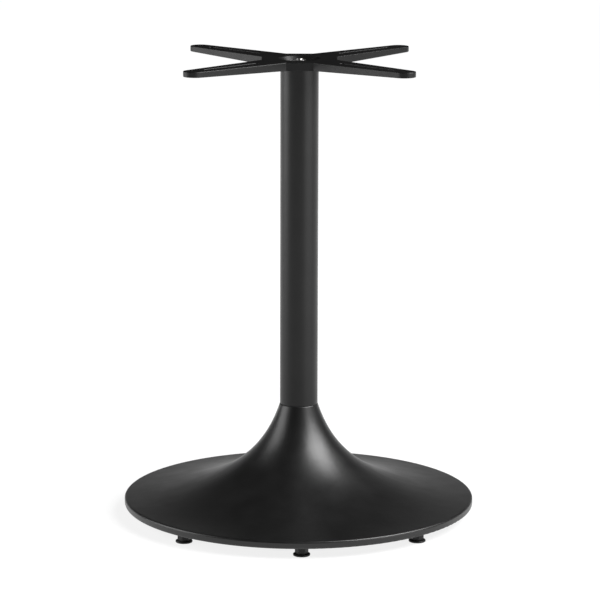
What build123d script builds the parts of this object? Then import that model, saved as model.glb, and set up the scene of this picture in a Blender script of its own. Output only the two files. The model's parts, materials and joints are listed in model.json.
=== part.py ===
from build123d import *
import os
from math import asin, cos, radians, sin, sqrt, tan

# Trumpet table base: a bell-shaped casting on levelling glides, a round column and a four-arm
# spider for the table top, clamped together by one long tie rod.
# Millimetres. +Z is up, the floor is z = 0 and the column stands on the Z axis.

# Column
column_diameter = 60.3
column_wall = 2.0
column_length = 542.1
column_end_chamfer = 0.6

# Bell casting: the outer curve leaves the lip at neck_lean from upright and reaches the rim at
# flange_lean from level, and the two pulls say how far the curve follows each direction
base_diameter = 560.0
rim_height = 12.0
rim_width = 9.0
rim_top_round = 3.0
rim_bottom_round = 3.0
bell_rise = 151.2
casting_wall = 6.0
diaphragm_thickness = 12.0
lip_step = 0.25
lip_round = 1.6
neck_lean = 18.0
neck_pull = 78.0
flange_lean = 4.0
flange_pull = 170.0

# Spigots that centre the column on both castings
spigot_length = 18.0
spigot_wall = 8.0
spigot_clearance = 0.15
spigot_chamfer = 1.5

# Spider
hub_across = 119.0
hub_depth = 13.0
hub_floor = 10.0
arm_count = 4
arm_angle = 45.0
arm_reach = 227.0
arm_tip_radius = 16.3
arm_root_radius = 30.7
arm_tip_depth = 8.6
top_edge_round = 1.2
arm_under_round = 1.0
arm_corner_round = 2.5
dish_radius = 33.0
dish_floor_radius = 24.0
dish_depth = 11.0
screw_slot_width = 8.0
screw_slot_start = 90.0
screw_slot_land = 22.0
screw_hole_diameter = 7.0

# Tie rod and its hardware
rod_diameter = 12.0
rod_hole_diameter = 13.5
rod_top_drop = 0.4
rod_overhang = 4.0
rod_chamfer = 1.2
thread_clearance = 0.05
washer_diameter = 37.0
washer_hole_diameter = 13.0
washer_thickness = 3.0
nut_across = 18.0
nut_chamfer = 1.0
top_nut_height = 6.0
bottom_nut_height = 10.8
spring_washer_diameter = 21.1
spring_washer_thickness = 2.5
spring_washer_gap = 2.0

# Levelling glides
glide_count = 8
glide_inset = 23.3
casting_clocking = 1.1
pad_diameter = 26.5
pad_thickness = 3.5
pad_top_round = 1.5
pad_bottom_round = 1.2
pad_floor = 2.5
hex_across = 18.0
hex_height = 10.0
hex_turn = 30.0
hex_chamfer = 0.8
insert_clearance = 0.02
stud_diameter = 8.0
stud_chamfer = 0.8
stud_clearance = 0.08
stud_end_clearance = 0.6
thread_gap = 2.2
glide_retraction = 2.0
boss_diameter = 25.0
boss_web_width = 16.0
hole_skin = 2.5

# Levels
rim_bottom = pad_thickness + hex_height + thread_gap
rim_top = rim_bottom + rim_height
lip_level = rim_top + bell_rise
diaphragm_bottom = lip_level - diaphragm_thickness
spider_bottom = lip_level + column_length
top_level = spider_bottom + hub_depth
dish_level = top_level - dish_depth

# Radii
column_radius = column_diameter / 2
column_inner_radius = column_radius - column_wall
base_radius = base_diameter / 2
glide_circle_radius = base_radius - glide_inset
lip_radius = column_radius + lip_step
spigot_radius = column_inner_radius - spigot_clearance
thread_radius = rod_diameter / 2 + thread_clearance
stud_radius = stud_diameter / 2

# Places of the arms and of the glides, each with its own X axis pointing outward
arm_places = PolarLocations(0, arm_count, arm_angle).locations
glide_places = PolarLocations(glide_circle_radius, glide_count, casting_clocking - 90).locations


def post(radius, bottom, top):
    """Upright cylinder on the local Z axis between two levels."""
    return Pos(0, 0, (bottom + top) / 2) * Cylinder(radius, top - bottom)


def top_edge(solid):
    """The highest circular edge of a solid, the outermost one where several are level."""
    return solid.edges().filter_by(GeomType.CIRCLE).group_by(Axis.Z)[-1].sort_by(SortBy.RADIUS)[-1]


def bottom_edge(solid):
    """The lowest circular edge of a solid, the outermost one where several are level."""
    return solid.edges().filter_by(GeomType.CIRCLE).group_by(Axis.Z)[0].sort_by(SortBy.RADIUS)[-1]


def bell_points():
    """Control points of the bell's outer curve in the XZ plane, from the lip to the rim."""
    lip = Vector(lip_radius, 0, lip_level)
    rim = Vector(base_radius, 0, rim_top)
    down_neck = Vector(sin(radians(neck_lean)), 0, -cos(radians(neck_lean)))
    up_flange = Vector(-cos(radians(flange_lean)), 0, sin(radians(flange_lean)))
    return [lip, lip + down_neck * neck_pull, rim + up_flange * flange_pull, rim]


def inset_points(points, distance):
    """Control points moved towards the hollow: each leg of the polygon shifts by the distance."""
    legs = [(end - start).normalized() for start, end in zip(points, points[1:])]
    normals = [Vector(leg.Z, 0, -leg.X) for leg in legs]
    moved = [points[0] + normals[0] * distance]
    for corner, before, after in zip(points[1:-1], normals, normals[1:]):
        mitre = (before + after).normalized()
        moved.append(corner + mitre * (distance / mitre.dot(before)))
    moved.append(points[-1] + normals[-1] * distance)
    return moved


def bell_height(radius):
    """Level of the bell's outer curve at a radius, by halving the curve's parameter."""
    curve = Bezier(*bell_points())
    low, high = 0.0, 1.0
    for _ in range(40):
        middle = (low + high) / 2
        if curve.position_at(middle).X < radius:
            low = middle
        else:
            high = middle
    return curve.position_at(low).Z


def turned(curve, *corners):
    """Solid of revolution about Z: a curve in the XZ plane closed through the given corners."""
    stops = [curve @ 1, *corners, curve @ 0]
    sides = [Line(start, end) for start, end in zip(stops, stops[1:])]
    return revolve(Face(Wire([curve, *sides])), Axis.Z)


def bell_envelope():
    """The bell as if it were solid: outer curve, upright rim face and flat underside."""
    solid = turned(
        Bezier(*bell_points()),
        Vector(base_radius, 0, rim_bottom),
        Vector(0, 0, rim_bottom),
        Vector(0, 0, lip_level),
    )
    rim_circles = solid.edges().filter_by(GeomType.CIRCLE).group_by(SortBy.RADIUS)[-1]
    solid = fillet(rim_circles.sort_by(Axis.Z)[-1], rim_top_round)
    solid = fillet(bottom_edge(solid), rim_bottom_round)
    return fillet(top_edge(solid), lip_round)


def bell_hollow():
    """The hollow under the bell, one wall inside the outer curve and below the diaphragm."""
    points = inset_points(bell_points(), casting_wall)
    hollow = turned(
        Bezier(*points),
        Vector(points[-1].X, 0, rim_bottom),
        Vector(0, 0, rim_bottom),
        Vector(0, 0, points[0].Z),
    )
    return hollow & post(base_radius - rim_width, rim_bottom, diaphragm_bottom)


def glide_boss():
    """Boss for one glide, with a web that ties it to the rim, trimmed by the hollow around it."""
    height = lip_level - rim_bottom
    web = Pos(glide_inset / 2, 0, rim_bottom + height / 2) * Box(glide_inset, boss_web_width, height)
    return post(boss_diameter / 2, rim_bottom, lip_level) + web


def glide_hole_top():
    """Level of the blind end of a glide's threaded hole, under the skin of the bell."""
    return bell_height(glide_circle_radius + stud_radius) - hole_skin


def make_trumpet_base():
    hollow = bell_hollow()
    for place in glide_places:
        hollow -= place * glide_boss()
    spigot_top = lip_level + spigot_length
    spigot = post(spigot_radius, lip_level - lip_round, spigot_top)
    spigot = chamfer(top_edge(spigot), spigot_chamfer)
    casting = bell_envelope() - hollow + spigot
    casting -= post(spigot_radius - spigot_wall, lip_level, spigot_top)
    casting -= post(rod_hole_diameter / 2, diaphragm_bottom, lip_level)
    for place in glide_places:
        casting -= place * post(stud_radius + stud_clearance, rim_bottom, glide_hole_top())
    return casting


def make_column():
    tube = post(column_radius, lip_level, spider_bottom)
    tube = chamfer([top_edge(tube), bottom_edge(tube)], column_end_chamfer)
    return tube - post(column_inner_radius, lip_level, spider_bottom)


def spider_plan():
    """Outline of the spider from above: square hub and round-ended tapered arms."""
    ends = Circle(arm_root_radius).edges() + (Pos(arm_reach, 0) * Circle(arm_tip_radius)).edges()
    arm = make_hull(ends)
    plan = Rectangle(hub_across, hub_across)
    for place in arm_places:
        plan += place * arm
    on_hub = plan.vertices().filter_by(
        lambda corner: abs(max(abs(corner.X), abs(corner.Y)) - hub_across / 2) < top_edge_round / 2
    )
    return fillet(on_hub, arm_corner_round)


def arm_underside():
    """Wedge that thins an arm from the hub's side, where the arm leaves it, out to the tip."""
    spread = asin((arm_root_radius - arm_tip_radius) / arm_reach)
    start = (hub_across / sqrt(2) - arm_root_radius / cos(spread)) / (1 - tan(spread))
    slope = (hub_depth - arm_tip_depth) / (arm_reach + arm_tip_radius - start)
    end = arm_reach + 2 * arm_tip_radius
    rise = slope * (end - start)
    profile = Polygon((start, 0), (end, 0), (end, rise), align=None)
    return Pos(0, 0, spider_bottom) * extrude(Plane.XZ * profile, hub_across / 2, both=True)


def under_edges(solid):
    """Edges between the downward faces of a solid and its upright sides."""
    undersides = solid.faces().filter_by(lambda face: face.normal_at().Z < -0.9)
    sides = solid.faces().filter_by(lambda face: abs(face.normal_at().Z) < 0.1)
    return undersides.edges() & sides.edges()


def screw_slot():
    """Cutter for the long screw slot of one arm, on the arm's own X axis."""
    end = arm_reach - screw_slot_land
    span = end - screw_slot_start - screw_slot_width
    plan = Pos((screw_slot_start + end) / 2, 0, top_level) * SlotCenterToCenter(span, screw_slot_width)
    return extrude(plan, -hub_depth)


def make_top_spider():
    spider = extrude(Pos(0, 0, top_level) * spider_plan(), -hub_depth)
    for place in arm_places:
        spider -= place * arm_underside()
    spider = fillet(under_edges(spider), arm_under_round)
    spigot = post(spigot_radius, spider_bottom - spigot_length, dish_level)
    spider += chamfer(bottom_edge(spigot), spigot_chamfer)
    dish = Cone(dish_floor_radius, dish_radius, dish_depth)
    spider -= Pos(0, 0, top_level - dish_depth / 2) * dish
    hollow_top = dish_level - hub_floor
    spider -= post(spigot_radius - spigot_wall, spider_bottom - spigot_length, hollow_top)
    spider -= post(rod_hole_diameter / 2, hollow_top, dish_level)
    for place in arm_places:
        spider -= place * screw_slot()
    spider = fillet(spider.edges().group_by(Axis.Z)[-1], top_edge_round)
    screw_hole = Pos(arm_reach, 0) * post(screw_hole_diameter / 2, spider_bottom, top_level)
    for place in arm_places:
        spider -= place * screw_hole
    return spider


def make_tie_rod():
    rod = post(rod_diameter / 2, bottom_nut_level - rod_overhang, top_level - rod_top_drop)
    rod = chamfer(top_edge(rod), rod_chamfer)
    return chamfer(bottom_edge(rod), rod_chamfer)


def make_washer(bottom):
    ring = post(washer_diameter / 2, bottom, bottom + washer_thickness)
    return ring - post(washer_hole_diameter / 2, bottom, bottom + washer_thickness)


def make_spring_washer(bottom):
    """Split ring under the bottom nut."""
    top = bottom + spring_washer_thickness
    ring = post(spring_washer_diameter / 2, bottom, top) - post(thread_radius, bottom, top)
    cut = Box(spring_washer_diameter, spring_washer_gap, 2 * spring_washer_thickness)
    return ring - Pos(spring_washer_diameter / 2, 0, bottom) * cut


def hexagon(across, bottom, top, edge):
    """Hexagonal prism whose corners are turned down by a chamfer at both ends."""
    prism = extrude(Pos(0, 0, bottom) * RegularPolygon(across / 2, 6, major_radius=False), top - bottom)
    blank = post(across / sqrt(3), bottom, top)
    blank = chamfer(top_edge(blank), edge)
    blank = chamfer(bottom_edge(blank), edge)
    return prism & blank


def make_nut(bottom, height):
    top = bottom + height
    return hexagon(nut_across, bottom, top, nut_chamfer) - post(thread_radius, bottom, top)


def make_glide_pad():
    """Moulded foot of one glide on its own axis: round pad, hexagonal neck with a flat facing
    outward, bore for the stud."""
    pad = post(pad_diameter / 2, 0, pad_thickness)
    pad = fillet(top_edge(pad), pad_top_round)
    pad = fillet(bottom_edge(pad), pad_bottom_round)
    neck_top = pad_thickness + hex_height
    neck = Rot(Z=hex_turn) * hexagon(hex_across, pad_floor - hex_chamfer, neck_top, hex_chamfer)
    return pad + neck - post(stud_radius + insert_clearance, pad_floor, neck_top)


def make_glide_stud():
    """Threaded stud of one glide, from the bore of the pad up into the casting's boss."""
    stud_top = glide_hole_top() - glide_retraction - stud_end_clearance
    return chamfer(top_edge(post(stud_radius, pad_floor, stud_top)), stud_chamfer)


# Hardware levels, from the diaphragm down and from the dish up
spring_washer_level = diaphragm_bottom - washer_thickness - spring_washer_thickness
bottom_nut_level = spring_washer_level - bottom_nut_height
top_nut_level = dish_level + washer_thickness

parts = {
    "trumpet_base": make_trumpet_base(),
    "column": make_column(),
    "top_spider": make_top_spider(),
    "tie_rod": make_tie_rod(),
    "top_washer": make_washer(dish_level),
    "top_nut": make_nut(top_nut_level, top_nut_height),
    "bottom_washer": make_washer(diaphragm_bottom - washer_thickness),
    "bottom_spring_washer": make_spring_washer(spring_washer_level),
    "bottom_nut": make_nut(bottom_nut_level, bottom_nut_height),
}
pad = make_glide_pad()
stud = make_glide_stud()
for number, place in enumerate(glide_places, start=1):
    parts[f"glide_pad_{number}"] = place * pad
    parts[f"glide_stud_{number}"] = place * stud

os.makedirs("parts", exist_ok=True)
for name, part in parts.items():
    export_step(part, f"parts/{name}.step")
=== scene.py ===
import json
from math import cos, pi, radians, sin
import bpy
from mathutils import Euler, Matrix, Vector

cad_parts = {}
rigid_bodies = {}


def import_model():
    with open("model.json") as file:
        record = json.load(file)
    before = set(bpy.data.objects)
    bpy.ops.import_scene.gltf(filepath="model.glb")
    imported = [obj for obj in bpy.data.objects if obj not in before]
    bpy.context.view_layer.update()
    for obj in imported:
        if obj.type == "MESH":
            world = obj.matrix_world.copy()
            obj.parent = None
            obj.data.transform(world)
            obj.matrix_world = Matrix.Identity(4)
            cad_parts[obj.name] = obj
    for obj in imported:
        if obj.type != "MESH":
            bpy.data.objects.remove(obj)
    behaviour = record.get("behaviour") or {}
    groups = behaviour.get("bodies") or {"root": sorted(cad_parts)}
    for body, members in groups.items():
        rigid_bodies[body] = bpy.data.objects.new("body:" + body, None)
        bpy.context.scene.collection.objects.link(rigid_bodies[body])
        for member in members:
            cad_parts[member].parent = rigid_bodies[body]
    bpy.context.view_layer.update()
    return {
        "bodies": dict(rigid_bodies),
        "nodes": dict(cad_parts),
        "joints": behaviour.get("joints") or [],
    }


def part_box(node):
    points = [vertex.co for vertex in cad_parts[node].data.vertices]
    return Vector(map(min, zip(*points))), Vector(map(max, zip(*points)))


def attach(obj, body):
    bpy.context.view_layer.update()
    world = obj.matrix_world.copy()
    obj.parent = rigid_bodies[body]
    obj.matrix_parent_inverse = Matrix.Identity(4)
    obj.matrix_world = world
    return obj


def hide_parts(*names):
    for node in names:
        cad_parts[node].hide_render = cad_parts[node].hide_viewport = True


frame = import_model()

scene = bpy.context.scene
scene.view_settings.view_transform = "Standard"

# Lengths are in metres, angles in degrees and powers in watts.
# The lens and the sensor are in millimetres.

# Camera: far off, with a long lens
CAMERA_DISTANCE = 4.8187
CAMERA_HEIGHT = 1.3350
CAMERA_PITCH = 11.588
CAMERA_ROLL = 0.139
CAMERA_YAW = 0.019
CAMERA_LENS = 185.3
SENSOR_WIDTH = 36.0

# Studio: a white floor that fades a little towards the part, in a dim room
FLOOR_SIZE = 60.0
FLOOR_COLOUR = (0.20, 0.20, 0.20, 1.0)
FLOOR_GLOW_NEAR = 0.84
FLOOR_GLOW_FAR = 1.0
FLOOR_GLOW_REACH = (0.35, 2.2)
ROOM_COLOUR = (1.0, 1.0, 1.0, 1.0)
ROOM_LEVEL = 0.012

# Noise: its sizes are cells in a metre, and most of its values lie between these two
NOISE_LOW = 0.3
NOISE_HIGH = 0.7

# Black coat: two shades in soft patches, and the gloss of each piece
COAT_DARK = (0.0050, 0.0050, 0.0050)
COAT_LIGHT = (0.0080, 0.0080, 0.0080)
COAT_PATCHES = 14.0
BELL_GLOSS = 0.58
TUBE_GLOSS = 0.36
SPIDER_GLOSS = 0.28
COAT_ROUGHNESS = (0.345, 0.395)
COAT_SATIN = 30.0

# Black coat along edges: a painted highlight in lighter grey, in patches, where a rounded normal turns by
# these cosines
COAT_EDGE_HIGHLIGHT = (0.030, 0.030, 0.031)
EDGE_REACH = 0.0018
EDGE_COSINES = (0.995, 0.90)
EDGE_HIGHLIGHT_PATCHES = 120.0
EDGE_HIGHLIGHT_LEAST = 0.2

# Relief of the black coat: the slow waves of what is under it, and its fine orange peel
WAVES = 55.0
CASTING_WAVE_DEPTH = 0.00012
TUBE_WAVE_DEPTH = 0.00002
PEEL = 900.0
PEEL_DEPTH = 0.00002

# Zinc plate: a cool and a warm shade, and fine rubbing marks around the parts
ZINC_COOL = (0.56, 0.56, 0.57)
ZINC_WARM = (0.68, 0.67, 0.64)
ZINC_ROUGHNESS = (0.24, 0.40)
ZINC_TARNISH = 260.0
ZINC_SATIN = 700.0
RUBBING = 2600.0
RUBBING_STRETCH = (1.0, 1.0, 6.0)
RUBBING_DEPTH = 0.00001

# Moulded nylon: two shades and a fine grain
NYLON_DARK = (0.007, 0.007, 0.007)
NYLON_LIGHT = (0.012, 0.012, 0.012)
NYLON_GLOSS = 0.4
NYLON_ROUGHNESS = (0.42, 0.56)
NYLON_CLOUDS = 180.0
NYLON_SATIN = 500.0
NYLON_GRAIN = 2200.0
NYLON_GRAIN_DEPTH = 0.00003

# Threads: the depth is a share of the pitch, the root flat and the flank are shares of half the pitch
ROD_PITCH = 0.00175
ROD_CHAMFER = 0.0012
ROD_THREAD_LENGTH = 0.045
STUD_PITCH = 0.00125
STUD_CHAMFER = 0.0008
THREAD_DEPTH = 0.6134
ROOT_FLAT = 0.25
FLANK = 0.625
STEPS_PER_TURN = 40
STEPS_PER_PITCH = 8


def add_camera():
    data = bpy.data.cameras.new("camera")
    data.sensor_width = SENSOR_WIDTH
    data.lens = CAMERA_LENS
    camera = bpy.data.objects.new("camera", data)
    camera.location = (0.0, -CAMERA_DISTANCE, CAMERA_HEIGHT)
    aim = Euler((radians(90.0 - CAMERA_PITCH), 0.0, -radians(CAMERA_YAW))).to_matrix()
    camera.rotation_euler = (aim @ Euler((0.0, 0.0, radians(CAMERA_ROLL))).to_matrix()).to_euler()
    scene.collection.objects.link(camera)
    scene.camera = camera


def area_light(name, bearing, distance, height, aim_height, size, power):
    """Soft box at a bearing counted from the camera's side, to the right, as seen from the part."""
    turn = radians(bearing)
    place = Vector((distance * sin(turn), -distance * cos(turn), height))
    data = bpy.data.lights.new(name, "AREA")
    data.shape = "RECTANGLE"
    data.size, data.size_y = size
    data.energy = power
    light = bpy.data.objects.new(name, data)
    light.location = place
    light.rotation_euler = (Vector((0, 0, aim_height)) - place).to_track_quat("-Z", "Y").to_euler()
    light.visible_camera = False
    scene.collection.objects.link(light)


def add_lights():
    """A large soft box on the right with a low one beside it, a tall one on the left, a low card behind."""
    area_light("key", bearing=74, distance=2.05, height=2.38, aim_height=0.08, size=(2.5, 1.88), power=154)
    area_light("front", bearing=56, distance=2.85, height=0.4, aim_height=0.38, size=(2.4, 0.76), power=13)
    area_light("side", bearing=-88, distance=2.9, height=1.2, aim_height=0.4, size=(2.1, 2.3), power=53)
    area_light("card", bearing=180, distance=1.4, height=0.27, aim_height=0.1, size=(2.6, 0.45), power=1.5)


def floor_material():
    """White floor: it glows for the eye and for reflections, and is lit by the lamps besides."""
    material = bpy.data.materials.new("floor")
    material.use_nodes = True
    nodes, links = material.node_tree.nodes, material.node_tree.links
    nodes.clear()
    output = nodes.new("ShaderNodeOutputMaterial")
    diffuse = nodes.new("ShaderNodeBsdfDiffuse")
    diffuse.inputs["Color"].default_value = FLOOR_COLOUR
    glow = nodes.new("ShaderNodeEmission")
    path = nodes.new("ShaderNodeLightPath")
    seen = path.outputs["Is Camera Ray"]
    for kind in ("Is Glossy Ray", "Is Transmission Ray"):
        either = nodes.new("ShaderNodeMath")
        either.operation = "MAXIMUM"
        links.new(seen, either.inputs[0])
        links.new(path.outputs[kind], either.inputs[1])
        seen = either.outputs[0]
    distance = nodes.new("ShaderNodeVectorMath")
    distance.operation = "LENGTH"
    links.new(nodes.new("ShaderNodeTexCoord").outputs["Object"], distance.inputs[0])
    fade = nodes.new("ShaderNodeMapRange")
    fade.inputs["From Min"].default_value, fade.inputs["From Max"].default_value = FLOOR_GLOW_REACH
    fade.inputs["To Min"].default_value = FLOOR_GLOW_NEAR
    fade.inputs["To Max"].default_value = FLOOR_GLOW_FAR
    links.new(distance.outputs["Value"], fade.inputs["Value"])
    level = nodes.new("ShaderNodeMath")
    level.operation = "MULTIPLY"
    links.new(seen, level.inputs[0])
    links.new(fade.outputs["Result"], level.inputs[1])
    links.new(level.outputs[0], glow.inputs["Strength"])
    both = nodes.new("ShaderNodeAddShader")
    links.new(diffuse.outputs[0], both.inputs[0])
    links.new(glow.outputs[0], both.inputs[1])
    links.new(both.outputs[0], output.inputs["Surface"])
    return material


def add_floor():
    """Flat floor that stays under the lowest glide, however far the glides are screwed in or out."""
    half = FLOOR_SIZE / 2
    mesh = bpy.data.meshes.new("floor")
    corners = [(-half, -half, 0), (half, -half, 0), (half, half, 0), (-half, half, 0)]
    mesh.from_pydata(corners, [], [(0, 1, 2, 3)])
    mesh.materials.append(floor_material())
    floor = bpy.data.objects.new("floor", mesh)
    floor.location.z = max(joint["range_m"][1] for joint in frame["joints"])
    for joint in frame["joints"]:
        below = floor.constraints.new("FLOOR")
        below.target = frame["bodies"][joint["child"]]
        below.floor_location = "FLOOR_NEGATIVE_Z"
    scene.collection.objects.link(floor)


def add_room():
    world = bpy.data.worlds.new("room")
    world.use_nodes = True
    background = world.node_tree.nodes["Background"]
    background.inputs["Color"].default_value = ROOM_COLOUR
    background.inputs["Strength"].default_value = ROOM_LEVEL
    scene.world = world


class Surface:
    """A principled material and the few node groups that its finish is made of."""

    def __init__(self, name):
        self.material = bpy.data.materials.new(name)
        self.material.use_nodes = True
        self.nodes = self.material.node_tree.nodes
        self.links = self.material.node_tree.links
        self.shader = self.nodes["Principled BSDF"]
        self.place = self.nodes.new("ShaderNodeTexCoord").outputs["Object"]

    def set(self, **values):
        """Sets sockets of the shader, each named with _ for a space."""
        for socket, value in values.items():
            self.shader.inputs[socket.replace("_", " ")].default_value = value

    def noise(self, cells, detail=2.0, stretch=(1.0, 1.0, 1.0)):
        mapping = self.nodes.new("ShaderNodeMapping")
        mapping.inputs["Scale"].default_value = stretch
        self.links.new(self.place, mapping.inputs["Vector"])
        node = self.nodes.new("ShaderNodeTexNoise")
        node.inputs["Scale"].default_value = cells
        node.inputs["Detail"].default_value = detail
        self.links.new(mapping.outputs["Vector"], node.inputs["Vector"])
        return node.outputs["Fac"]

    def spread(self, value, low=0.0, high=1.0, start=NOISE_LOW, end=NOISE_HIGH):
        """A value that goes from start to end, spread from low to high."""
        node = self.nodes.new("ShaderNodeMapRange")
        node.inputs["From Min"].default_value = start
        node.inputs["From Max"].default_value = end
        node.inputs["To Min"].default_value = low
        node.inputs["To Max"].default_value = high
        self.links.new(value, node.inputs["Value"])
        return node.outputs["Result"]

    def product(self, first, second):
        node = self.nodes.new("ShaderNodeMath")
        node.operation = "MULTIPLY"
        self.links.new(first, node.inputs[0])
        self.links.new(second, node.inputs[1])
        return node.outputs[0]

    def edges(self, reach):
        """One along the edges and nought elsewhere: where the rounded normal leaves the real one."""
        rounded = self.nodes.new("ShaderNodeBevel")
        rounded.inputs["Radius"].default_value = reach
        real = self.nodes.new("ShaderNodeNewGeometry")
        both = self.nodes.new("ShaderNodeVectorMath")
        both.operation = "DOT_PRODUCT"
        self.links.new(rounded.outputs["Normal"], both.inputs[0])
        self.links.new(real.outputs["Normal"], both.inputs[1])
        start, end = EDGE_COSINES
        return self.spread(both.outputs["Value"], start=start, end=end)

    def blend(self, share, low, high):
        """Mix of two colours, each a fixed colour or the result of another mix."""
        node = self.nodes.new("ShaderNodeMix")
        node.data_type = "RGBA"
        self.links.new(share, node.inputs["Factor"])
        for socket, colour in (("A", low), ("B", high)):
            if isinstance(colour, tuple):
                node.inputs[socket].default_value = (*colour, 1.0)
            else:
                self.links.new(colour, node.inputs[socket])
        return node.outputs["Result"]

    def colour(self, value):
        self.links.new(value, self.shader.inputs["Base Color"])

    def roughness(self, value):
        self.links.new(value, self.shader.inputs["Roughness"])

    def bump(self, layers):
        """Bumps laid over each other, each given as a height value and its depth in metres."""
        normal = None
        for height, depth in layers:
            node = self.nodes.new("ShaderNodeBump")
            node.inputs["Distance"].default_value = depth
            self.links.new(height, node.inputs["Height"])
            if normal is not None:
                self.links.new(normal, node.inputs["Normal"])
            normal = node.outputs["Normal"]
        self.links.new(normal, self.shader.inputs["Normal"])


def powder_coat(name, wave_depth, gloss):
    """Satin black powder coat: fine orange peel over slow waves, and a painted highlight in lighter grey
    along edges.
    """
    surface = Surface(name)
    surface.set(Specular_IOR_Level=gloss)
    patches = surface.spread(surface.noise(COAT_PATCHES, detail=3.0))
    shade = surface.blend(patches, COAT_DARK, COAT_LIGHT)
    # Painted highlight: a lighter grey colour along edges, broken into patches by noise
    edge_highlight_patches = surface.spread(surface.noise(EDGE_HIGHLIGHT_PATCHES, detail=3.0), low=EDGE_HIGHLIGHT_LEAST)
    painted_edge_highlight = surface.product(surface.edges(EDGE_REACH), edge_highlight_patches)
    surface.colour(surface.blend(painted_edge_highlight, shade, COAT_EDGE_HIGHLIGHT))
    surface.roughness(surface.spread(surface.noise(COAT_SATIN, detail=4.0), *COAT_ROUGHNESS))
    surface.bump([
        (surface.noise(WAVES, detail=1.0), wave_depth),
        (surface.noise(PEEL), PEEL_DEPTH),
    ])
    return surface.material


def zinc_plate(name):
    """Bright zinc plating with a faint tarnish and fine rubbing marks."""
    surface = Surface(name)
    surface.set(Metallic=1.0)
    tarnish = surface.spread(surface.noise(ZINC_TARNISH, detail=3.0))
    surface.colour(surface.blend(tarnish, ZINC_COOL, ZINC_WARM))
    surface.roughness(surface.spread(surface.noise(ZINC_SATIN, detail=3.0), *ZINC_ROUGHNESS))
    surface.bump([(surface.noise(RUBBING, stretch=RUBBING_STRETCH), RUBBING_DEPTH)])
    return surface.material


def nylon(name):
    """Black moulded nylon with a fine matt texture."""
    surface = Surface(name)
    surface.set(Specular_IOR_Level=NYLON_GLOSS)
    clouds = surface.spread(surface.noise(NYLON_CLOUDS))
    surface.colour(surface.blend(clouds, NYLON_DARK, NYLON_LIGHT))
    surface.roughness(surface.spread(surface.noise(NYLON_SATIN, detail=3.0), *NYLON_ROUGHNESS))
    surface.bump([(surface.noise(NYLON_GRAIN), NYLON_GRAIN_DEPTH)])
    return surface.material


def thread_radius(turn, crest, pitch):
    """Radius of a thread at a point, from how many pitches along the helix the point lies."""
    depth = THREAD_DEPTH * pitch
    ramp = abs((turn % 1.0) - 0.5) * 2.0
    share = min(1.0, max(0.0, (ramp - ROOT_FLAT) / FLANK))
    return crest - depth + depth * share


def thread_rings(node, pitch, chamfer, thread_length):
    """Points of a rod in a CAD node's place, threaded at both ends, in rings from its bottom to its top."""
    low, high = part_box(node)
    bottom, top = low[2], high[2]
    centre = (Vector(low) + Vector(high)) / 2
    radius = (high[0] - low[0]) / 2
    rows = round((top - bottom) / pitch * STEPS_PER_PITCH)
    levels = [bottom + (top - bottom) * row / rows for row in range(rows + 1)]
    levels = [level for level in levels if min(level - bottom, top - level) < thread_length + pitch]
    points = []
    for level in levels:
        from_end = min(level - bottom, top - level)
        for side in range(STEPS_PER_TURN):
            share = side / STEPS_PER_TURN
            reach = min(radius, radius - chamfer + from_end)
            if from_end <= thread_length:
                reach = min(reach, thread_radius((level - bottom) / pitch - share, radius, pitch))
            turn = 2 * pi * share
            points.append((centre.x + reach * cos(turn), centre.y + reach * sin(turn), level))
    return points


def ring_faces(points):
    """Faces from ring to ring, then a flat cap on the first ring and one on the last."""
    faces = []
    last = len(points) - STEPS_PER_TURN
    for here in range(0, last, STEPS_PER_TURN):
        there = here + STEPS_PER_TURN
        for side in range(STEPS_PER_TURN):
            after = (side + 1) % STEPS_PER_TURN
            faces.append((here + side, here + after, there + after, there + side))
    faces.append(tuple(reversed(range(STEPS_PER_TURN))))
    faces.append(tuple(range(last, last + STEPS_PER_TURN)))
    return faces


def threaded_rod(name, node, pitch, chamfer, thread_length):
    """Rod in place of a CAD node, with a true helical thread at both ends, as one closed mesh."""
    points = thread_rings(node, pitch, chamfer, thread_length)
    mesh = bpy.data.meshes.new(name)
    mesh.from_pydata(points, [], ring_faces(points))
    mesh.shade_smooth()
    for cap in mesh.polygons[-2:]:
        cap.use_smooth = False
    rod = bpy.data.objects.new(name, mesh)
    scene.collection.objects.link(rod)
    return rod


def add_rod(name, node, body, material, pitch, chamfer, thread_length):
    rod = threaded_rod(name, node, pitch, chamfer, thread_length)
    rod.data.materials.append(material)
    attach(rod, body)
    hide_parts(node)


def add_studs(material):
    """Studs of the glides, each threaded along its whole length."""
    for node in [name for name in frame["nodes"] if name.startswith("glide_stud")]:
        number = node.split("_")[-1]
        low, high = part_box(node)
        length = high[2] - low[2]
        stud = f"threaded_stud_{number}"
        add_rod(stud, node, f"glide_{number}", material, STUD_PITCH, STUD_CHAMFER, length)


bell_coat = powder_coat("bell_coat", CASTING_WAVE_DEPTH, BELL_GLOSS)
spider_coat = powder_coat("spider_coat", CASTING_WAVE_DEPTH, SPIDER_GLOSS)
tube_coat = powder_coat("tube_coat", TUBE_WAVE_DEPTH, TUBE_GLOSS)
pad_nylon = nylon("pad_nylon")
zinc = zinc_plate("zinc")
finishes = {"trumpet_base": bell_coat, "top_spider": spider_coat, "column": tube_coat}
for name, node in frame["nodes"].items():
    finish = pad_nylon if name.startswith("glide_pad") else finishes.get(name, zinc)
    node.data.materials.clear()
    node.data.materials.append(finish)

add_rod("threaded_tie_rod", "tie_rod", "stand", zinc, ROD_PITCH, ROD_CHAMFER, ROD_THREAD_LENGTH)
add_studs(zinc)

add_camera()
add_lights()
add_floor()
add_room()
